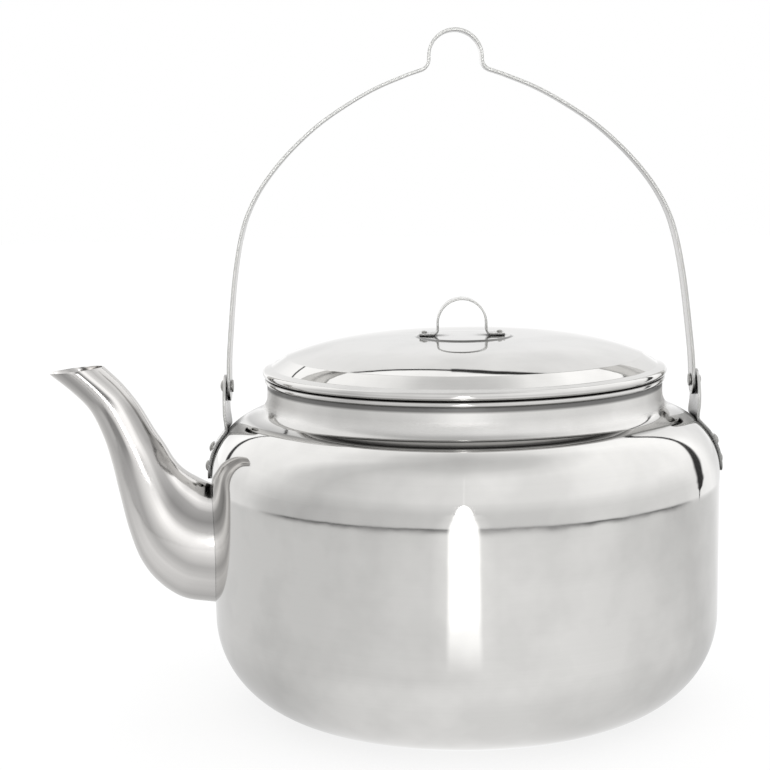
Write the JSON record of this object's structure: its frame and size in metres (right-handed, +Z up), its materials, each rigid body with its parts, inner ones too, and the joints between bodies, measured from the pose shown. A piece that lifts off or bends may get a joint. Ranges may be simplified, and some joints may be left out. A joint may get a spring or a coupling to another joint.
{
  "type": "coffee kettle",
  "caption": "Round camp coffee kettle in polished stainless sheet: swan-neck spout, swinging strip bail on riveted ears, and a lift-off domed lid with a finger loop.",
  "frame": {"origin": "centre of the flat base, on the surface that the kettle stands on", "axes": "+Z up along the pot's axis, spout towards -X, bail pivots along X"},
  "size_m": [0.3314, 0.25, 0.3297],
  "materials": {
    "polished_steel": "mirror-polished stainless steel sheet",
    "spun_steel": "polished stainless steel with a faint grain",
    "strip_steel": "satin stainless steel strip",
    "rivet_steel": "plain stainless steel rivet"
  },
  "bodies": {
    "kettle": {"kettle_body": "polished_steel", "spout": "spun_steel", "ear_left": "strip_steel", "ear_right": "strip_steel", "ear_left_rivet_upper": "rivet_steel", "ear_left_rivet_lower": "rivet_steel", "ear_right_rivet_upper": "rivet_steel", "ear_right_rivet_lower": "rivet_steel", "bail_rivet_left": "rivet_steel", "bail_rivet_right": "rivet_steel"},
    "bail": {"bail": "strip_steel"},
    "lid": {"lid": "polished_steel", "lid_collar": "spun_steel", "lid_handle": "strip_steel", "lid_handle_rivet_left": "rivet_steel", "lid_handle_rivet_right": "rivet_steel"}
  },
  "joints": [
    {"name": "bail_swing", "type": "hinge", "parent": "kettle", "child": "bail", "pos_m": [0, 0, 0.158], "axis": [1, 0, 0], "range_deg": [-105, 105]},
    {"name": "lid_lift", "type": "slide", "parent": "kettle", "child": "lid", "axis": [0, 0, 1], "range_m": [0, 0.06]}
  ]
}
